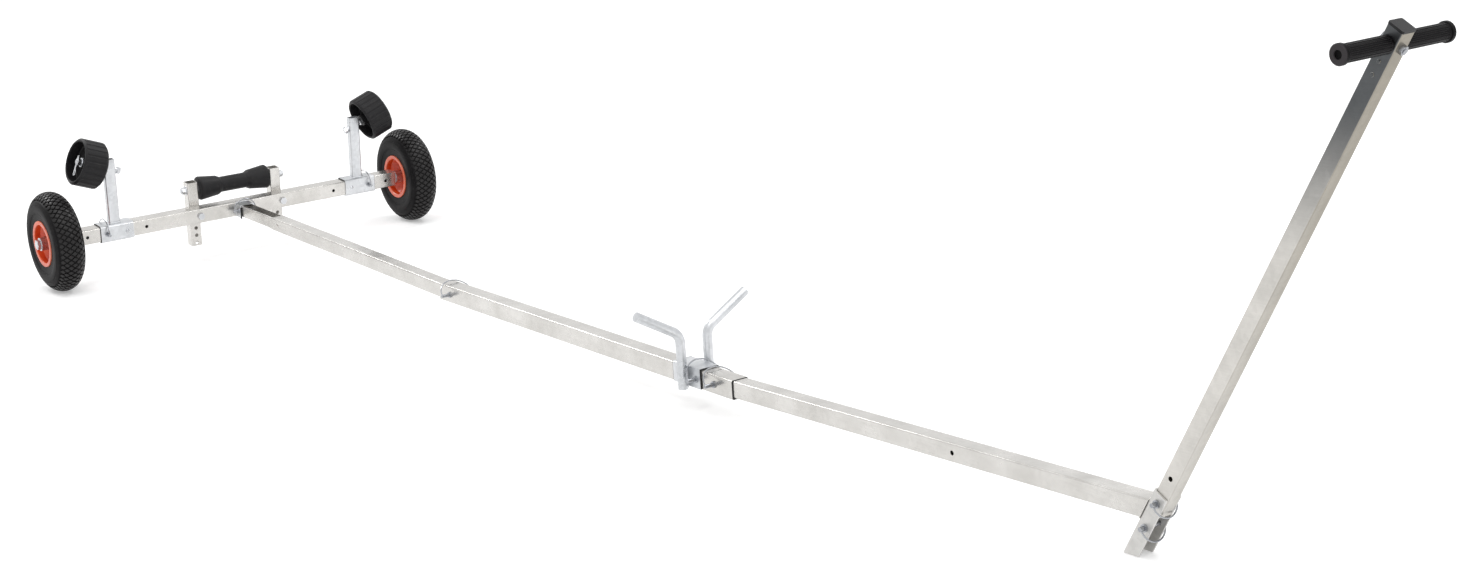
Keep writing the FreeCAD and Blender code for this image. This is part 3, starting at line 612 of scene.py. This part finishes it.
def add_spring_clips():
    """Spring clip through the outer end of each side roller's spindle."""
    path = [(0, 0, 15 - 1.5*i) for i in range(32)]
    for i in range(1, 12):
        a = math.pi*i/12
        path.append((4.6 - 4.6*math.cos(a), 0, -31.5 - 4.6*math.sin(a)))
    for z, x in ((-30, 9.0), (-26, 7.4), (-21, 4.6), (-16, 3.2), (-11, 3.8), (-8, 6.0), (-4, 8.2),
                 (0, 9.0), (4, 8.2), (7, 6.0), (10, 3.6), (14, 3.2), (18, 5.5)):
        path.append((x, 0, z))
    form = wire(resampled(path, 1.2, False), 1.3, 10)
    for side, mirror in SIDES:
        piece("spring_clip_" + side, form, AXLE @ mirror @ ROLLER @ at(0, 29.0, 0), "fastener")


def dome(radius, height):
    """Rivet or screw head that stands on a face across Y."""
    profile = [(radius, 0.0)]
    for i in range(1, 7):
        a = math.pi/2*i/7
        profile.append((radius*math.cos(a), height*math.sin(a)))
    return lathe([(radius, -0.6)] + profile + [(0.15*radius, height)], 28, True)


def add_heads():
    """Screw head on each sleeve, rivets through tongue and rear tube, and two rivets on the handle."""
    for side, mirror in SIDES:
        front = AXLE @ mirror @ at(SLEEVE_OUTER/2, SCREW_OUT, 0) @ Y_TO_X
        piece("sleeve_screw_" + side, dome(5.0, 2.4), front, "fastener")
        beside = REAR @ mirror @ at(TONGUE_HOLE_X, REAR_TUBE_HALF, 0)
        piece("tongue_rivet_" + side, dome(6.0, 2.2), beside, "galvanised_tube")
    for name, height in (("upper", RIVETS[0]), ("lower", RIVETS[1])):
        place = MAST @ Matrix.Scale(-1, 4, (0, 1, 0)) @ at(HANDLE_MIDDLE, HANDLE_HALF, height)
        rivet = piece("handle_rivet_" + name, dome(3.4, 1.6), place, "fastener")
        # The handle rivets take the handle's material with its painted reflection tone.
        rivet.data.materials[0] = nodes["handle_tube"].data.materials[0]


def add_end_liners_and_gap_shade():
    """Thin black edges where tubes and sleeves end: in part plastic liners, in part painted shade of the gaps
    there.
    """
    # Black strips at the dark gap lines: part plastic liner, part painted shade.
    piece("liner_middle_tube", frame_ring(39.4, 35.0, 1.6), MIDDLE @ at(MIDDLE_END, 0, 0), "cap")
    outside = ((-23.0, -18), (-23.0, 22.8), (23.0, 22.8), (23.0, -18))
    inside = ((20.2, -18), (20.2, 20.0), (-20.2, 20.0), (-20.2, -18))
    for name, x in (("rear", -47.2), ("front", 45.8)):
        piece("liner_saddle_" + name, extruded(outside + inside, 1.4), MIDDLE @ at(BOW_X + x, 0, 0), "cap")
    strip = extruded(((-19.0, 20.2), (19.0, 20.2), (19.0, 22.6), (-19.0, 22.6)), 1.2)
    turn = Matrix.Rotation(math.radians(90), 4, "Z")
    for side, mirror in SIDES:
        for name, y, form in (("inner", -SLEEVE_LENGTH/2 - 1.0, strip),
                              ("outer", SLEEVE_LENGTH/2 - 0.2, frame_ring(45.0, 40.2, 1.2))):
            place = AXLE @ mirror @ at(0, SLEEVE_CENTRE + y, 0) @ turn
            piece("liner_sleeve_" + name + "_" + side, form, place, "cap")
        ear = ((16.8, -19.5), (20.2, -19.5), (20.2, 12.0), (16.8, 12.0))
        piece("ear_edge_" + side, extruded(ear, 1.4), AXLE @ mirror @ at(50.6, 0, 0), "cap")


def tube_on_socket():
    """Outline of the front tube where it meets the socket's back, in the mast's frame."""
    into = MAST.inverted() @ FRONT
    along = into.to_3x3() @ Vector((1, 0, 0))
    outline = []
    for y, z in rounded(36.5, 36.5, 3.5):
        p = into @ Vector((0, y, z))
        outline.append(p - along*((p.x + 0.2)/along.x))
    return outline


def add_welds():
    """Weld beads at the posts, the axle stubs, the bow arms, the coupling and the socket."""
    foot = [(x, y, 0) for x, y in rounded(21.0, 31.0, 4.0)]
    collar = [(14.8*math.cos(2*math.pi*i/28), 0, 14.8*math.sin(2*math.pi*i/28)) for i in range(28)]
    for side, mirror in SIDES:
        place = AXLE @ mirror @ at(0, SLEEVE_CENTRE, SLEEVE_OUTER/2 + 0.2)
        piece("weld_post_" + side, bead(foot, closed=True), place, "zinc_plate")
        end = AXLE @ mirror @ at(0, BEAM_END, 0)
        piece("weld_stub_" + side, bead(collar, closed=True), end, "galvanised_tube")
        lines = [bead([(x, 24.6, -22), (x, 24.6, 19)], 1.5) for x in (-5.0, 5.0)]
        piece("weld_arm_" + side, joined(lines), MIDDLE @ mirror @ at(BOW_X, 0, 0), "zinc_plate")
        ear = bead([(20.6, 19.6, -18.5), (20.6, 19.6, 17), (20.6, 16, 19.6), (20.6, 0, 19.8)], 1.4)
        piece("weld_coupling_" + side, ear, AXLE @ mirror, "zinc_plate")
    piece("weld_socket", bead(tube_on_socket(), 1.4, True), MAST, "galvanised_tube")


def add_camera():
    """Camera at the photograph's angle."""
    azimuth, elevation, roll = (math.radians(a) for a in CAMERA_TURN)
    back = Vector((math.sin(azimuth)*math.cos(elevation), -math.cos(azimuth)*math.cos(elevation),
                   math.sin(elevation)))
    level = Vector((math.cos(azimuth), math.sin(azimuth), 0))
    up = back.cross(level)
    right = level*math.cos(roll) + up*math.sin(roll)
    up = up*math.cos(roll) - level*math.sin(roll)
    data = bpy.data.cameras.new("camera")
    data.sensor_width = 36.0
    data.lens = FOCAL_PIXELS*36.0/IMAGE_WIDTH
    data.clip_end = 100.0
    camera = bpy.data.objects.new("camera", data)
    bpy.context.scene.collection.objects.link(camera)
    place = Vector(CAMERA_PLACE) + Vector((joints["wheel_port_spin"]["pos_m"][0], 0, 0))
    camera.matrix_world = Matrix.Translation(place) @ Matrix((right, up, back)).transposed().to_4x4()
    bpy.context.scene.camera = camera


def add_lamp(name, place, target, size, power):
    """Square soft lamp that faces a target."""
    data = bpy.data.lights.new(name, "AREA")
    data.size = size
    data.energy = power
    lamp = bpy.data.objects.new(name, data)
    bpy.context.scene.collection.objects.link(lamp)
    lamp.location = place
    lamp.rotation_euler = (Vector(target) - Vector(place)).to_track_quat("-Z", "Y").to_euler()


def add_sun(place, spread, strength):
    """Wide even light from a place, the same over the whole floor."""
    data = bpy.data.lights.new("sky", "SUN")
    data.angle = math.radians(spread)
    data.energy = strength
    lamp = bpy.data.objects.new("sky", data)
    bpy.context.scene.collection.objects.link(lamp)
    lamp.rotation_euler = Vector(place).to_track_quat("Z", "Y").to_euler()


def seen_directly(tree):
    """1 for rays from the camera, from gloss and through glass."""
    path = tree.nodes.new("ShaderNodeLightPath")
    total = path.outputs["Is Camera Ray"]
    for name in ("Is Glossy Ray", "Is Transmission Ray"):
        add = tree.nodes.new("ShaderNodeMath")
        add.operation = "MAXIMUM"
        tree.links.new(total, add.inputs[0])
        tree.links.new(path.outputs[name], add.inputs[1])
        total = add.outputs[0]
    return total


def add_studio():
    """White world, pale floor and soft lamps."""
    world = bpy.data.worlds.new("world")
    bpy.context.scene.world = world
    world.use_nodes = True
    tree = world.node_tree
    background = tree.nodes["Background"]
    background.inputs["Color"].default_value = (1, 1, 1, 1)
    level = ramp(tree, seen_directly(tree), ((0.0, 0.55), (1.0, 1.0)))
    tree.links.new(level, background.inputs["Strength"])
    add_sun((1.5, -1.0, 4.0), 55.0, 1.0)
    add_lamp("back", (-1.2, 3.4, 4.4), (-1.2, 0, 0.2), 1.6, 60.0)
    add_lamp("edge", (-5.4, -1.4, 4.0), (-0.4, 0, 0.2), 1.6, 80.0)
    add_lamp("front", (5.2, 2.0, 4.2), (0.6, 0, 0.3), 1.6, 60.0)
    mesh = bpy.data.meshes.new("floor")
    half = 40.0
    corners = [(-half, -half, 0), (half, -half, 0), (half, half, 0), (-half, half, 0)]
    mesh.from_pydata(corners, [], [(0, 1, 2, 3)])
    floor = bpy.data.objects.new("floor", mesh)
    bpy.context.scene.collection.objects.link(floor)
    floor.location.z = -0.0005
    material, tree, shader, place = node_material("floor")
    shader.inputs["Base Color"].default_value = (0.86, 0.86, 0.86, 1)
    shader.inputs["Roughness"].default_value = 0.9
    shader.inputs["Specular IOR Level"].default_value = 0.1
    seen = ramp(tree, seen_directly(tree), ((0.0, 0.0), (1.0, 1.0)))
    tree.links.new(seen, shader.inputs["Emission Color"])
    shader.inputs["Emission Strength"].default_value = 0.32
    mesh.materials.append(material)
    bpy.context.scene.view_settings.view_transform = "Standard"


dress_frame()
add_tyres()
add_valves()
add_threads()
add_spring_clips()
add_heads()
add_end_liners_and_gap_shade()
add_welds()
add_camera()
add_studio()
